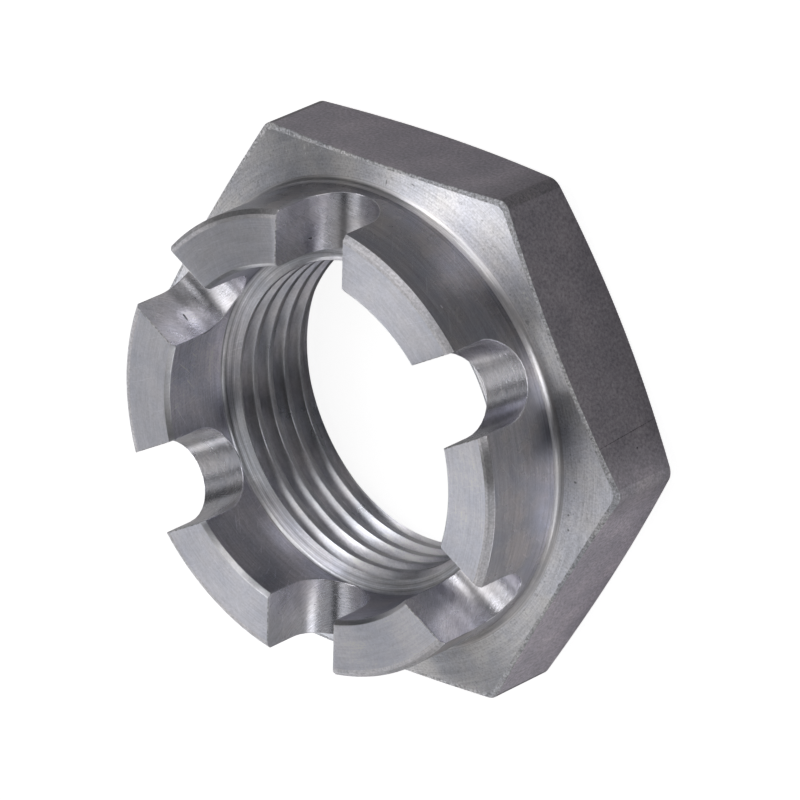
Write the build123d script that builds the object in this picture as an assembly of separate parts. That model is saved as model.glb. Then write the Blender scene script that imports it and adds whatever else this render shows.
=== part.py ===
from build123d import *
import os
from math import cos, radians, tan

# Thin hexagon castle nut, one turned and milled piece, in millimetres.
# The thread axis is +Z, the bearing face lies on z = 0 and the crown points up.
# Corners of the hexagon lie at 0, 60, 120 ... degrees about the axis.

# Hexagon bar
ACROSS_FLATS = 46.0
CORNER_ROUNDING = 1.2
HEXAGON_SIDES = 6

# Turned faces of the hexagon
FLAT_TOP_HEIGHT = 8.85
TOP_CONE_SLOPE = 12.7
BEARING_DIAMETER = 43.4
BEARING_CONE_SLOPE = 15.7

# Crown
NUT_HEIGHT = 17.9
CROWN_DIAMETER = 41.5
CROWN_ROOT_FILLET = 0.7
CROWN_OUTER_CHAMFER = 0.4
CROWN_INNER_CHAMFER = 0.35

# Thread, shown as its smooth crest cylinder
THREAD_DIAMETER = 30.0
THREAD_PITCH = 2.0
CREST_ALLOWANCE = 0.2
THREAD_ENTRY_MARGIN = 0.6
THREAD_ENTRY_SLOPE = 45.0

# Plain bore inside the crown, above the thread
CROWN_BORE_CLEARANCE = 0.65
BORE_FLOOR_HEIGHT = 10.8
BORE_FLOOR_SLOPE = 14.0
BORE_FLOOR_FILLET = 0.4

# Slots for a split pin, milled across the crown with a round-nosed cutter
SLOT_COUNT = 6
SLOT_WIDTH = 7.4
SLOT_FLOOR_HEIGHT = 10.9
SLOT_TURN = -0.7

# Share of the pitch by which a basic metric crest lies inside the nominal diameter
CREST_DEPTH_PER_PITCH = 1.0825
CUTTER_OVERRUN = 1.0

flat_radius = ACROSS_FLATS / 2
cutting_radius = flat_radius / cos(radians(180 / HEXAGON_SIDES)) + CUTTER_OVERRUN
bearing_radius = BEARING_DIAMETER / 2
crown_radius = CROWN_DIAMETER / 2
crest_radius = (THREAD_DIAMETER - CREST_DEPTH_PER_PITCH * THREAD_PITCH + CREST_ALLOWANCE) / 2
entry_radius = THREAD_DIAMETER / 2 + THREAD_ENTRY_MARGIN
bore_radius = THREAD_DIAMETER / 2 + CROWN_BORE_CLEARANCE


def top_cone_height(radius):
    """Height of the shallow crown-side cone, which falls outwards from the middle of each flat."""
    return FLAT_TOP_HEIGHT - (radius - flat_radius) * tan(radians(TOP_CONE_SLOPE))


def bearing_cone_height(radius):
    """Height of the bearing-side cone, which rises outwards from the bearing circle."""
    return (radius - bearing_radius) * tan(radians(BEARING_CONE_SLOPE))


def hexagon_bar():
    """Six-sided bar with rounded corners, as tall as the nut."""
    outline = RegularPolygon(flat_radius, HEXAGON_SIDES, major_radius=False)
    outline = fillet(outline.vertices(), CORNER_ROUNDING)
    return extrude(outline, NUT_HEIGHT)


def turned_section():
    """Half section of everything the lathe cuts, from the thread entry round to the crown bore."""
    entry_height = (entry_radius - crest_radius) / tan(radians(THREAD_ENTRY_SLOPE))
    floor_inner_height = BORE_FLOOR_HEIGHT - (bore_radius - crest_radius) * tan(radians(BORE_FLOOR_SLOPE))
    crown_root = (crown_radius, top_cone_height(crown_radius))
    crown_rim = (crown_radius, NUT_HEIGHT)
    bore_rim = (bore_radius, NUT_HEIGHT)
    bore_floor = (bore_radius, BORE_FLOOR_HEIGHT)
    outline = make_face(Polyline(
        (entry_radius, 0),
        (bearing_radius, 0),
        (cutting_radius, bearing_cone_height(cutting_radius)),
        (cutting_radius, top_cone_height(cutting_radius)),
        crown_root,
        crown_rim,
        bore_rim,
        bore_floor,
        (crest_radius, floor_inner_height),
        (crest_radius, entry_height),
        close=True,
    ))

    def corner(place):
        return outline.vertices().sort_by_distance(place)[0]

    outline = fillet(corner(crown_root), CROWN_ROOT_FILLET)
    outline = fillet(corner(bore_floor), BORE_FLOOR_FILLET)
    outline = chamfer(corner(crown_rim), CROWN_OUTER_CHAMFER)
    outline = chamfer(corner(bore_rim), CROWN_INNER_CHAMFER)
    return outline


def slot_cutter():
    """Path of the round-nosed cutter from the axis outwards along +X: a full-radius floor, open above."""
    nose_radius = SLOT_WIDTH / 2
    nose_height = SLOT_FLOOR_HEIGHT + nose_radius
    open_height = NUT_HEIGHT + CUTTER_OVERRUN - nose_height
    profile = Circle(nose_radius) + Rectangle(SLOT_WIDTH, open_height, align=(Align.CENTER, Align.MIN))
    return extrude(Plane.YZ * Pos(0, nose_height) * profile, cutting_radius)


def castle_nut():
    """The finished nut: the turned section on the hexagon bar, less the slots over the flats."""
    blank = revolve(Plane.XZ * turned_section(), Axis.Z)
    nut = blank & hexagon_bar()
    first_slot = 180 / HEXAGON_SIDES + SLOT_TURN
    nut -= PolarLocations(0, SLOT_COUNT, start_angle=first_slot) * slot_cutter()
    return nut


os.makedirs("parts", exist_ok=True)

nut = castle_nut()
nut.label = "castle_nut"
export_step(nut, "parts/castle_nut.step")

box = nut.bounding_box()
print("castle_nut", [round(v, 3) for v in (box.size.X, box.size.Y, box.size.Z)])
print("volume mm3", round(nut.volume, 1), "valid", nut.is_valid)
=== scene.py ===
"""Looks for a thin hexagon castle nut in plain machined steel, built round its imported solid."""

import logging
import math
from collections.abc import Iterator, Sequence
from dataclasses import dataclass, field
from enum import Enum, IntEnum
from functools import cached_property
from typing import Union

import bmesh
import bpy
import numpy as np
from mathutils import Matrix, Vector


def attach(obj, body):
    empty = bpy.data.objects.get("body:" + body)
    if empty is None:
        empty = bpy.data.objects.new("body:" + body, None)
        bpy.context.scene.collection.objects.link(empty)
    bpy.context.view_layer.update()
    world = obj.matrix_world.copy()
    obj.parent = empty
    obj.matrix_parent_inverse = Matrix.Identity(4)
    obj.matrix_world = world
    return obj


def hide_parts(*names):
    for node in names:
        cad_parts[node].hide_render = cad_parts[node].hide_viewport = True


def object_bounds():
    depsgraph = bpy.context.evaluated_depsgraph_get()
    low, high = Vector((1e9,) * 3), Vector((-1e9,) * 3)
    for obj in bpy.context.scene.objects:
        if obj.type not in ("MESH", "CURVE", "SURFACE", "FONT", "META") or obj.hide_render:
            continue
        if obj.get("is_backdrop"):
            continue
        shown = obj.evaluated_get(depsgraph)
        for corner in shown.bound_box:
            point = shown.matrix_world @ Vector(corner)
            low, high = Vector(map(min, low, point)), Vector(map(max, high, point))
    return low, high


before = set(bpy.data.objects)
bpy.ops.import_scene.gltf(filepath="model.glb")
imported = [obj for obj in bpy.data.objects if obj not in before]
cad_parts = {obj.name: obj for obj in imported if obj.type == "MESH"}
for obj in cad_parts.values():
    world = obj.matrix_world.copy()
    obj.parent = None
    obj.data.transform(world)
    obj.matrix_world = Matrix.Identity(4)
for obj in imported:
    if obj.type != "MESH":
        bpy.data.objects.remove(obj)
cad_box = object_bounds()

log = logging.getLogger("castle_nut")

Pair = tuple[float, float]
Triple = tuple[float, float, float]
Socket = bpy.types.NodeSocket
Value = Union[Socket, float, Sequence[float]]
"""What a node's input takes: another node's output, or a plain number, vector or colour."""

MM = 0.001
"""Metres in a millimetre; the nut's own sizes below are in millimetres."""

CLOSE = 1e-4
"""Millimetres or radians within which two places on the section count as the same."""


class Zone(IntEnum):
    """Surfaces of the nut that were cut in different ways, in the order of the mesh's material slots.

    CONE is both cones, CROWN_END also takes the bearing face, FORMED is the fillet at the crown's
    root, SEAT is the bore's floor with its fillet, and EDGE is every burred edge.
    """

    CONE = 0
    FLAT = 1
    CROWN_WALL = 2
    CROWN_END = 3
    SLOT = 4
    BORE = 5
    SEAT = 6
    THREAD = 7
    CORNER = 8
    EDGE = 9
    FORMED = 10
    CHAMFER = 11


def fillet_arc(corner: Pair | np.ndarray, leg_a: Pair, leg_b: Pair, radius: float, steps: int) -> np.ndarray:
    """Round a corner between two straight legs with a true arc.

    The arc's centre lies on the legs' bisector, radius / sin(half angle) from the corner, and the
    points swing from the end of leg a to the end of leg b by equal angles.

    Args:
        corner: Corner points, shape (..., 2), as radius and height.
        leg_a: Direction from the corner along the first leg.
        leg_b: Direction from the corner along the second leg.
        radius: Radius of the arc.
        steps: Number of chords.

    Returns:
        Points of the arc, shape (..., steps + 1, 2).
    """
    a = np.array(leg_a, float) / np.hypot(*leg_a)
    b = np.array(leg_b, float) / np.hypot(*leg_b)
    half = math.acos(float(a @ b)) / 2
    reach = radius / math.tan(half)
    middle = (a + b) / np.hypot(*(a + b)) * radius / math.sin(half)
    start, end = a * reach - middle, b * reach - middle
    swing = math.pi - 2 * half
    share = np.linspace(0, 1, steps + 1)[:, None]
    bow = (np.sin((1 - share) * swing) * start + np.sin(share * swing) * end) / math.sin(swing)
    return np.asarray(corner, float)[..., None, :] + middle + bow


def inner_points(start: float | np.ndarray, end: float | np.ndarray, steps: int) -> np.ndarray:
    """Points that split a straight stretch into equal steps, without its two ends."""
    return start + (end - start) * np.linspace(0, 1, steps + 1)[1:-1]


@dataclass(frozen=True)
class Lines:
    """Lines that run once round the nut's section, one for each step round the axis.

    A line keeps an offset from the middle plane of a slot, or lies a share of the way between the
    flanks of two neighbouring slots. The ceiling is the greatest height that it reaches.
    """

    slot_angle: np.ndarray
    offset: np.ndarray
    next_offset: np.ndarray
    share: np.ndarray
    distance: np.ndarray
    clearance: np.ndarray
    ceiling: np.ndarray
    in_slot: np.ndarray
    in_corner: np.ndarray
    in_break: np.ndarray


@dataclass(frozen=True)
class Section:
    """Points of every section line, with the zone of the step that follows each point.

    The slot span is the first and the last point between which a slot's own surface lies.
    """

    radius: np.ndarray
    height: np.ndarray
    zones: np.ndarray
    slot_span: tuple[int, int]


@dataclass
class Strips:
    """Strips of section points, collected in order for all the lines at once."""

    lines: int
    kept: list[tuple[Zone, np.ndarray, np.ndarray]] = field(default_factory=list)

    @property
    def count(self) -> int:
        """Number of points on each line so far."""
        return sum(radius.shape[1] for _, radius, _ in self.kept)

    def add(self, zone: Zone, radius: float | np.ndarray, height: float | np.ndarray) -> None:
        """Keep one strip of points, spread over all the lines.

        Args:
            zone: Zone of the steps that follow the points.
            radius: Radii, shape (lines, points) or less.
            height: Heights, likewise.
        """
        radius, height = np.broadcast_arrays(np.atleast_2d(radius), np.atleast_2d(height))
        shape = (self.lines, radius.shape[1])
        self.kept.append((zone, np.broadcast_to(radius, shape), np.broadcast_to(height, shape)))

    def add_arc(self, zone: Zone, points: np.ndarray) -> None:
        """Keep an arc's points, given as radius and height."""
        self.add(zone, points[..., 0], points[..., 1])

    def joined(self, slot_span: tuple[int, int]) -> Section:
        """Put the strips together.

        Args:
            slot_span: First and last point of the slots' surface.

        Returns:
            The whole section.
        """
        zones = np.concatenate([np.full(radius.shape[1], zone) for zone, radius, _ in self.kept])
        radius, height = (np.hstack([strip[side] for strip in self.kept]) for side in (1, 2))
        return Section(radius, height, zones, slot_span)


@dataclass
class InternalThread:
    """Right-hand metric thread, given as one ridge's profile and the helix that it follows."""

    major_diameter: float = 30.0
    crest_diameter: float = 28.035
    pitch: float = 2.0
    flank_angle: float = 30.0
    crest_half_width: float = 0.29
    root_clearance: float = 0.02
    edge_rounding: float = 0.12
    rounding_steps: int = 3
    flank_shares: Pair = (0.33, 0.67)
    start_height: float = 1.37

    def ridge(self) -> tuple[np.ndarray, np.ndarray]:
        """Work out one pitch of the profile, from the middle of a groove over a ridge.

        The crest and the root are straight, the flanks stand at the flank angle to the radius,
        and each corner is an arc.

        Returns:
            Heights relative to the ridge's middle and radii, without the last point, which is
            the next pitch's first.
        """
        crest, root = self.crest_diameter / 2, self.major_diameter / 2 + self.root_clearance
        slope = math.tan(math.radians(self.flank_angle))
        foot = self.crest_half_width + (root - crest) * slope
        rounding = self.edge_rounding, self.rounding_steps
        top = fillet_arc((crest, self.crest_half_width), (0, -1), (1, slope), *rounding)
        low = fillet_arc((root, foot), (-1, -slope), (0, 1), *rounding)
        flank = top[-1] + (low[0] - top[-1]) * np.array(self.flank_shares)[:, None]
        half = np.vstack([[(crest, 0.0)], top, flank, low, [(root, self.pitch / 2)]])
        whole = np.vstack([half[::-1] * (1, -1), half[1:-1]])
        return whole[:, 1], whole[:, 0]

    def turns(self, angle: np.ndarray, top: float) -> tuple[np.ndarray, np.ndarray]:
        """Carry the ridge's profile along its helix.

        Height = profile height + start height + pitch * (angle / full turn + whole turns), and
        the radius is the profile's own.

        Args:
            angle: Azimuth of each line, in radians, from 0 up to a full turn.
            top: Height that the highest ridge has to clear.

        Returns:
            Radii and heights, shape (lines, points), rising along each line.
        """
        heights, radii = self.ridge()
        spare_turns = 2
        turns = np.arange(-spare_turns, math.ceil(top / self.pitch) + 1)
        rise = self.start_height + self.pitch * angle[:, None] / (2 * math.pi)
        z = rise + self.pitch * np.repeat(turns, len(heights)) + np.tile(heights, len(turns))
        return np.broadcast_to(np.tile(radii, len(turns)), z.shape), z


@dataclass
class CastleNut:
    """The whole nut as one closed surface: its section carried round the axis.

    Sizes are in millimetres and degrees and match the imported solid, whose smooth bore gains its
    thread here. The steps are how many chords or stretches a part of the section is split into.
    """

    across_flats: float = 46.0
    corner_rounding: float = 1.2
    flat_top_height: float = 8.85
    top_cone_slope: float = 12.7
    bearing_diameter: float = 43.4
    bearing_cone_slope: float = 15.7
    bearing_rim_rounding: float = 0.3
    height: float = 17.9
    crown_diameter: float = 41.5
    crown_root_fillet: float = 0.7
    crown_outer_chamfer: float = 0.4
    crown_inner_chamfer: float = 0.35
    chamfer_foot_rounding: float = 0.15
    chamfer_brow_rounding: float = 0.1
    entry_margin: float = 0.6
    bore_diameter: float = 31.3
    bore_floor_height: float = 10.8
    bore_floor_slope: float = 14.0
    bore_floor_fillet: float = 0.4
    slot_count: int = 6
    slot_width: float = 7.4
    slot_floor_height: float = 10.9
    slot_turn: float = -0.7
    edge_break: float = 0.08
    corner_break: float = 0.12
    thread: InternalThread = field(default_factory=InternalThread)

    arc_steps: int = 4
    chamfer_steps: int = 3
    rim_steps: int = 2
    root_steps: int = 7
    seat_steps: int = 5
    span_steps: int = 5
    wall_steps: int = 7
    flank_levels: int = 7
    slot_floor_steps: int = 8
    finger_steps: int = 9
    cone_steps: int = 10
    end_steps: int = 14
    corner_margin: float = 1.35
    face_shift: float = 40.0
    sharp_angle: float = 26.0
    merge_distance: float = 0.002

    @property
    def flat_radius(self) -> float:
        """Distance from the axis to a flat."""
        return self.across_flats / 2

    @property
    def crown_radius(self) -> float:
        """Outer radius of the crown."""
        return self.crown_diameter / 2

    @property
    def bore_radius(self) -> float:
        """Radius of the plain bore inside the crown."""
        return self.bore_diameter / 2

    @property
    def finger_radius(self) -> float:
        """Radius midway between the crown's bore and its outer wall."""
        return (self.bore_radius + self.crown_radius) / 2

    @property
    def slot_half(self) -> float:
        """Half the slot's width, which is also the radius of its floor."""
        return self.slot_width / 2

    @property
    def slot_centre_height(self) -> float:
        """Height at which the slot's round floor meets its upright flanks."""
        return self.slot_floor_height + self.slot_half

    @property
    def slot_spacing(self) -> float:
        """Azimuth, in radians, from one slot to the next, which is also a corner's to the next."""
        return 2 * math.pi / self.slot_count

    @property
    def first_slot(self) -> float:
        """Azimuth of the first slot's middle, in radians."""
        return self.slot_spacing / 2 + math.radians(self.slot_turn)

    @property
    def entry_radius(self) -> float:
        """Radius of the thread's countersink on the bearing face."""
        return self.thread.major_diameter / 2 + self.entry_margin

    @property
    def top_fall(self) -> float:
        """Fall of the crown-side cone per length outwards."""
        return math.tan(math.radians(self.top_cone_slope))

    @property
    def bearing_rise(self) -> float:
        """Rise of the bearing-side cone per length outwards."""
        return math.tan(math.radians(self.bearing_cone_slope))

    @property
    def floor_rise(self) -> float:
        """Rise of the bore's floor per length outwards."""
        return math.tan(math.radians(self.bore_floor_slope))

    def top_cone(self, radius: float | np.ndarray) -> float | np.ndarray:
        """Height of the shallow cone round the crown, which falls outwards."""
        return self.flat_top_height - (radius - self.flat_radius) * self.top_fall

    def bearing_cone(self, radius: float | np.ndarray) -> float | np.ndarray:
        """Height of the bearing side's cone, which rises outwards."""
        return (radius - self.bearing_diameter / 2) * self.bearing_rise

    def floor_cone(self, radius: float | np.ndarray) -> float | np.ndarray:
        """Height of the bore's sloping floor above the thread, which rises outwards."""
        return self.bore_floor_height - (self.bore_radius - radius) * self.floor_rise

    @cached_property
    def corner_centre(self) -> float:
        """Distance from the axis to the centre of a bar corner's rounding."""
        return (self.flat_radius - self.corner_rounding) / math.cos(math.pi / 6)

    @cached_property
    def corner_half_angle(self) -> float:
        """Azimuth, in radians, from a corner's middle to where its rounding meets the flat."""
        along = self.corner_centre + self.corner_rounding * math.cos(math.pi / 6)
        return math.atan(self.corner_rounding * math.sin(math.pi / 6) / along)

    def hexagon_radius(self, angle: np.ndarray) -> np.ndarray:
        """Distance from the axis to the hexagon.

        Flats lie at (half across flats) / cos(angle from the flat's middle); near a corner the
        outline is an arc whose centre lies on the corner's line.

        Args:
            angle: Azimuth in radians; corners lie at whole multiples of a sixth of a turn.

        Returns:
            Radius for each azimuth.
        """
        sixth = math.pi / 3
        from_corner = np.abs((angle + sixth / 2) % sixth - sixth / 2)
        flat = self.flat_radius / np.cos(sixth / 2 - from_corner)
        inside = self.corner_rounding**2 - (self.corner_centre * np.sin(from_corner)) ** 2
        rounded = self.corner_centre * np.cos(from_corner) + np.sqrt(np.clip(inside, 0, None))
        return np.where(from_corner < self.corner_half_angle, rounded, flat)

    def chamfer_profile(self, radius: float, size: float, side: int) -> np.ndarray:
        """Work out a chamfer of the crown with its two corners rounded, from the wall to the end.

        Args:
            radius: Radius of the wall.
            size: Width and height of the chamfer.
            side: 1 where the chamfer runs outwards from the wall, or -1 where it runs inwards.

        Returns:
            Points as radius and height, rising.
        """
        foot, brow = (radius, self.height - size), (radius + side * size, self.height)
        low = fillet_arc(foot, (0, -1), (side, 1), self.chamfer_foot_rounding, self.chamfer_steps)
        high = fillet_arc(brow, (-side, -1), (side, 0), self.chamfer_brow_rounding, self.chamfer_steps)
        return np.vstack([low, high])

    @cached_property
    def crown_levels(self) -> tuple[np.ndarray, np.ndarray, np.ndarray]:
        """Heights on the crown above the slots' centre, with its outer and inner radius at each.

        Both chamfers and their small roundings share one list of heights, so that a slot's flank
        can end at any of them and still meet both walls.

        Returns:
            Heights, outer radii and inner radii.
        """
        outer = self.chamfer_profile(self.crown_radius, self.crown_outer_chamfer, -1)
        inner = self.chamfer_profile(self.bore_radius, self.crown_inner_chamfer, 1)
        plain = np.linspace(self.slot_centre_height, outer[0, 1], self.flank_levels)
        last = self.height - self.edge_break
        levels = np.unique(np.round(np.concatenate([plain, outer[:, 1], inner[:, 1], [last]]), 5))
        return levels, *(np.interp(levels, profile[:, 1], profile[:, 0]) for profile in (outer, inner))

    @cached_property
    def root_arc(self) -> np.ndarray:
        """Fillet between the crown-side cone and the crown's wall, rising."""
        root = (self.crown_radius, self.top_cone(self.crown_radius))
        return fillet_arc(root, (1, -self.top_fall), (0, 1), self.crown_root_fillet, self.root_steps)

    @cached_property
    def seat_arc(self) -> np.ndarray:
        """Fillet between the bore's wall and its sloping floor, falling."""
        foot = (self.bore_radius, self.bore_floor_height)
        return fillet_arc(foot, (0, 1), (-1, -self.floor_rise), self.bore_floor_fillet, self.seat_steps)

    def finger_azimuths(self, low: float, high: float) -> tuple[np.ndarray, np.ndarray]:
        """Place a finger's lines, which crowd round the hexagon's rounded corner.

        Args:
            low: Azimuth of the finger's first edge, in radians.
            high: Azimuth of its second edge.

        Returns:
            Azimuths, rising, and for each whether it lies on the corner's rounding.
        """
        corner, arc = self.slot_spacing, self.corner_half_angle
        before, after = corner - self.corner_margin * arc, corner + self.corner_margin * arc
        left = inner_points(low, before, self.finger_steps)
        right = inner_points(after, high, self.finger_steps)
        rounding = corner + np.linspace(-arc, arc, 2 * self.arc_steps + 1)
        azimuths = np.concatenate([left, [before], rounding, [after], right])
        return azimuths, np.abs(azimuths - corner) <= arc + CLOSE

    @cached_property
    def lines(self) -> Lines:
        """Lay out the section lines for one turn.

        For each slot: the round floor by equal angles, the flank with one line for each level of
        the crown, the broken edge by equal angles, and then the finger up to the next slot, which
        has the same lines in mirror order.

        Returns:
            The lines, of which the last is the first again.
        """
        w, b = self.slot_half, self.edge_break
        levels = self.crown_levels[0]
        flank = levels[(levels > self.slot_centre_height + CLOSE) & (levels < self.height - b + CLOSE)]
        bend = np.linspace(0, math.pi / 2, self.slot_floor_steps + 1)
        turn = np.linspace(0, math.pi / 2, self.arc_steps + 1)[1:]
        half_y = np.concatenate([w * np.sin(bend), np.full(len(flank), w), w + b * (1 - np.cos(turn))])
        floor_z, break_z = self.slot_centre_height - w * np.cos(bend), self.height - b + b * np.sin(turn)
        half_z = np.concatenate([floor_z, flank, break_z])

        edge = math.asin((w + b) / self.crown_radius)
        low, high = self.first_slot + edge, self.first_slot + self.slot_spacing - edge
        finger, on_corner = self.finger_azimuths(low, high)
        held, near, far = np.ones(len(finger)), np.ones(len(half_y)), np.ones(len(half_y) - 1)
        back = slice(None, 0, -1)
        share = np.concatenate([near * 0, (finger - low) / (high - low), far])
        offset = np.concatenate([half_y, held * (w + b), far * 0])
        next_offset = np.concatenate([near * 0, held * -(w + b), -half_y[back]])
        ceiling = np.concatenate([half_z, held * self.height, half_z[back]])
        distance = np.abs(np.where(share < 0.5, offset, next_offset))
        beside = (share == 0) | (share == 1)

        def around(values: np.ndarray) -> np.ndarray:
            """Repeat one period's values for every slot and close the turn with the first line."""
            return np.append(np.tile(values, self.slot_count), values[0])

        slots = self.first_slot + self.slot_spacing * np.arange(self.slot_count)
        return Lines(
            slot_angle=np.append(np.repeat(slots, len(share)), self.first_slot + 2 * math.pi),
            offset=around(offset),
            next_offset=around(next_offset),
            share=around(share),
            distance=around(distance),
            clearance=around(np.clip(distance - w, 0, b)),
            ceiling=around(ceiling),
            in_slot=around(distance <= w + CLOSE),
            in_corner=around(np.concatenate([near > 1, on_corner, far > 1])),
            in_break=around((distance >= w - CLOSE) & beside),
        )

    def azimuth(self, radius: np.ndarray) -> np.ndarray:
        """Azimuth of each line at given radii.

        A line at offset y from a slot's middle plane has azimuth = slot azimuth + asin(y / radius);
        a finger's line is the mix of its two flanks' lines. Inside the bore and outside the crown
        the lines run on radially.

        Args:
            radius: Radii, shape (lines, points).

        Returns:
            Azimuths in radians, same shape.
        """
        n = self.lines
        r = np.clip(radius, self.bore_radius, self.crown_radius)
        here = n.slot_angle[:, None] + np.arcsin(n.offset[:, None] / r)
        there = n.slot_angle[:, None] + self.slot_spacing + np.arcsin(n.next_offset[:, None] / r)
        return here + n.share[:, None] * (there - here)

    def rounded(self, distance: np.ndarray) -> np.ndarray:
        """Depth that a broken edge takes off a wall at a given distance from the slot's outline."""
        b = self.edge_break
        return b - np.sqrt(np.clip(b**2 - (b - distance) ** 2, 0, None))

    @cached_property
    def brink(self) -> tuple[np.ndarray, np.ndarray]:
        """Curves that run round the slots' outline, from the edge break's outer limit to the outline.

        Height = centre height - sqrt((half width + distance)^2 - offset^2).

        Returns:
            Distances outside the slot and heights, shape (lines, curves).
        """
        n = self.lines
        shares = np.linspace(0, 1, self.arc_steps + 1)
        distances = self.edge_break + (n.clearance[:, None] - self.edge_break) * shares
        under = (self.slot_half + distances) ** 2 - n.distance[:, None] ** 2
        return distances, self.slot_centre_height - np.sqrt(np.clip(under, 0, None))

    def section(self) -> Section:
        """Work out the section of every line, from the bearing face outwards and back down the bore.

        Returns:
            Points of all the lines, with their zones.
        """
        strips = Strips(len(self.lines.share))
        self.add_hexagon(strips)
        first = strips.count
        self.add_crown(strips)
        last = strips.count - 1
        self.add_bore(strips)
        return strips.joined((first, last))

    def add_hexagon(self, strips: Strips) -> None:
        """Add the bearing face, the flats between both cones, and the crown's wall under the slots.

        Args:
            strips: Collector of the section's points.
        """
        edge = self.hexagon_radius(self.azimuth(np.full((strips.lines, 1), self.crown_radius)))
        foot, brow = np.hstack([edge, self.bearing_cone(edge)]), np.hstack([edge, self.top_cone(edge)])
        circle, rise = (self.bearing_diameter / 2, 0.0), self.bearing_rise
        rim = fillet_arc(circle, (-1, 0), (1, rise), self.bearing_rim_rounding, self.rim_steps)
        lower = fillet_arc(foot, (-1, -rise), (0, 1), self.corner_break, self.arc_steps)
        upper = fillet_arc(brow, (0, -1), (-1, self.top_fall), self.corner_break, self.arc_steps)
        root = self.root_arc
        face = np.linspace(self.entry_radius, rim[0, 0], self.span_steps + 1)[:-1]
        strips.add(Zone.CROWN_END, face, 0.0)
        strips.add_arc(Zone.CONE, rim)
        span = inner_points(rim[-1, 0], lower[:, :1, 0], self.span_steps)
        strips.add(Zone.CONE, span, self.bearing_cone(span))
        strips.add_arc(Zone.FLAT, lower)
        strips.add(Zone.FLAT, edge, inner_points(lower[:, -1:, 1], upper[:, :1, 1], self.wall_steps))
        strips.add_arc(Zone.EDGE, upper)
        span = inner_points(upper[:, -1:, 0], root[0, 0], self.cone_steps)
        strips.add(Zone.CONE, span, self.top_cone(span))
        strips.add_arc(Zone.FORMED, root[:-1])
        strips.add_arc(Zone.CROWN_WALL, root[-1:])
        wall = inner_points(root[-1, 1], self.brink[1][:, :1], self.wall_steps)
        strips.add(Zone.CROWN_WALL, self.crown_radius, wall)

    def add_crown(self, strips: Strips) -> None:
        """Add the crown from the slots' outline on its outer wall over the end to that in the bore.

        Args:
            strips: Collector of the section's points.
        """
        distances, brink = self.brink
        levels, outer, inner = self.crown_levels
        loss = self.rounded(self.lines.clearance)[:, None]
        capped = np.minimum(levels, self.lines.ceiling[:, None])
        chamfer = int(np.searchsorted(levels, self.height - self.crown_outer_chamfer))
        strips.add(Zone.CROWN_WALL, self.crown_radius - self.rounded(distances), brink)
        strips.add(Zone.CROWN_WALL, outer[1:chamfer] - loss, capped[:, 1:chamfer])
        strips.add(Zone.CHAMFER, outer[chamfer:] - loss, capped[:, chamfer:])
        strips.add(Zone.CROWN_END, inner_points(outer[-1], inner[-1], self.end_steps), capped[:, -1:])
        strips.add(Zone.SEAT, (inner + loss)[:, :chamfer:-1], capped[:, :chamfer:-1])
        strips.add(Zone.BORE, (inner + loss)[:, chamfer::-1], capped[:, chamfer::-1])
        strips.add(Zone.BORE, (self.wall_radius(brink) + self.rounded(distances))[:, ::-1], brink[:, ::-1])

    def wall_radius(self, height: np.ndarray) -> np.ndarray:
        """Radius of the bore's wall, and of the fillet at its foot, at a given height."""
        rising = self.seat_arc[::-1]
        return np.interp(height, rising[:, 1], rising[:, 0])

    def add_bore(self, strips: Strips) -> None:
        """Add the bore's wall under the slots, its fillet and floor, and the thread.

        Args:
            strips: Collector of the section's points.
        """
        seat, outline = self.seat_arc, self.brink[1][:, :1]
        wall = inner_points(seat[0, 1], np.maximum(outline, seat[0, 1]), self.span_steps)
        for zone, height in ((Zone.BORE, wall[:, ::-1]), (Zone.SEAT, seat[:, 1])):
            held = np.minimum(height, outline)
            strips.add(zone, self.wall_radius(held), held)
        angle = self.azimuth(np.full((strips.lines, 1), self.bore_radius))[:, 0]
        radius, height = self.cut_by_floor(*self.thread.turns(angle, self.bore_floor_height))
        foot_radius, foot_height = seat[-1]
        floor_radius = inner_points(foot_radius, radius[:, -1:], self.span_steps)
        strips.add(Zone.SEAT, floor_radius, inner_points(foot_height, height[:, -1:], self.span_steps))
        radius, height = self.cut_by_entry(radius, height)
        strips.add(Zone.THREAD, radius[:, ::-1], height[:, ::-1])

    def cut_by_floor(self, radius: np.ndarray, height: np.ndarray) -> tuple[np.ndarray, np.ndarray]:
        """End each thread line where it first rises through the bore's sloping floor.

        Points beyond the crossing are gathered on it, so the edge between thread and floor is sharp.

        Args:
            radius: Radii of the thread's points, rising along each line.
            height: Their heights.

        Returns:
            The changed radii and heights.
        """
        above = height - self.floor_cone(radius)
        first = np.argmax(above > 0, axis=1)
        rows = np.arange(len(first))
        low, high = above[rows, first - 1], above[rows, first]
        share = low / (low - high)
        beyond = np.arange(radius.shape[1]) >= first[:, None]
        ended = []
        for values in (radius, height):
            edge = values[rows, first - 1] + share * (values[rows, first] - values[rows, first - 1])
            ended.append(np.where(beyond, edge[:, None], values))
        return ended[0], ended[1]

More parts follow.
